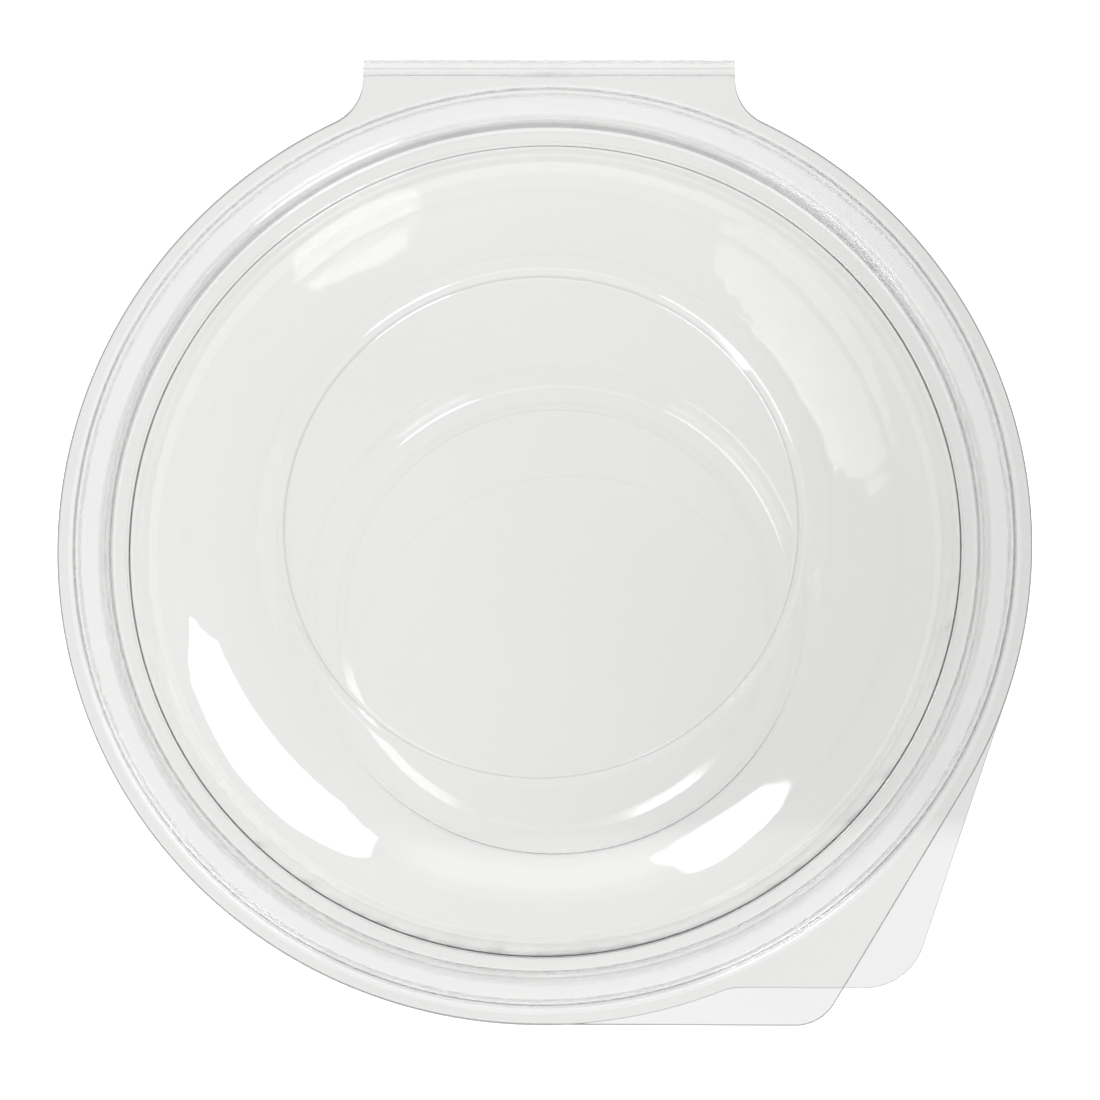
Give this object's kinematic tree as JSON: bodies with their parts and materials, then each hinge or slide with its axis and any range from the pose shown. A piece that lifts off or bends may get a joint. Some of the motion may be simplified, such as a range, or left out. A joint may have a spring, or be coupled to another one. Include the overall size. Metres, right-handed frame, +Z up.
{
  "type": "salad bowl with lid",
  "caption": "Round clear plastic salad bowl with a domed lid on a living hinge, a raised nesting rim, a foot ring and offset finger tabs.",
  "frame": {"origin": "on the bowl's own axis, in the plane of the table that the foot ring stands on", "axes": "+Z up along the bowl's axis, +Y towards the hinge at the back, +X to the right seen from the front, with the finger tabs at the front right"},
  "size_m": [0.175, 0.1777, 0.0758],
  "materials": {
    "clear_sheet": "clear gloss sheet"
  },
  "bodies": {
    "bowl": {"bowl": "clear_sheet", "living_hinge": "clear_sheet"},
    "lid": {"lid": "clear_sheet"}
  },
  "joints": [
    {"name": "lid_hinge", "type": "hinge", "parent": "bowl", "child": "lid", "pos_m": [0, 0.0887, 0.06015], "axis": [-1, 0, 0], "range_deg": [0, 180], "deforming": ["living_hinge"]}
  ]
}
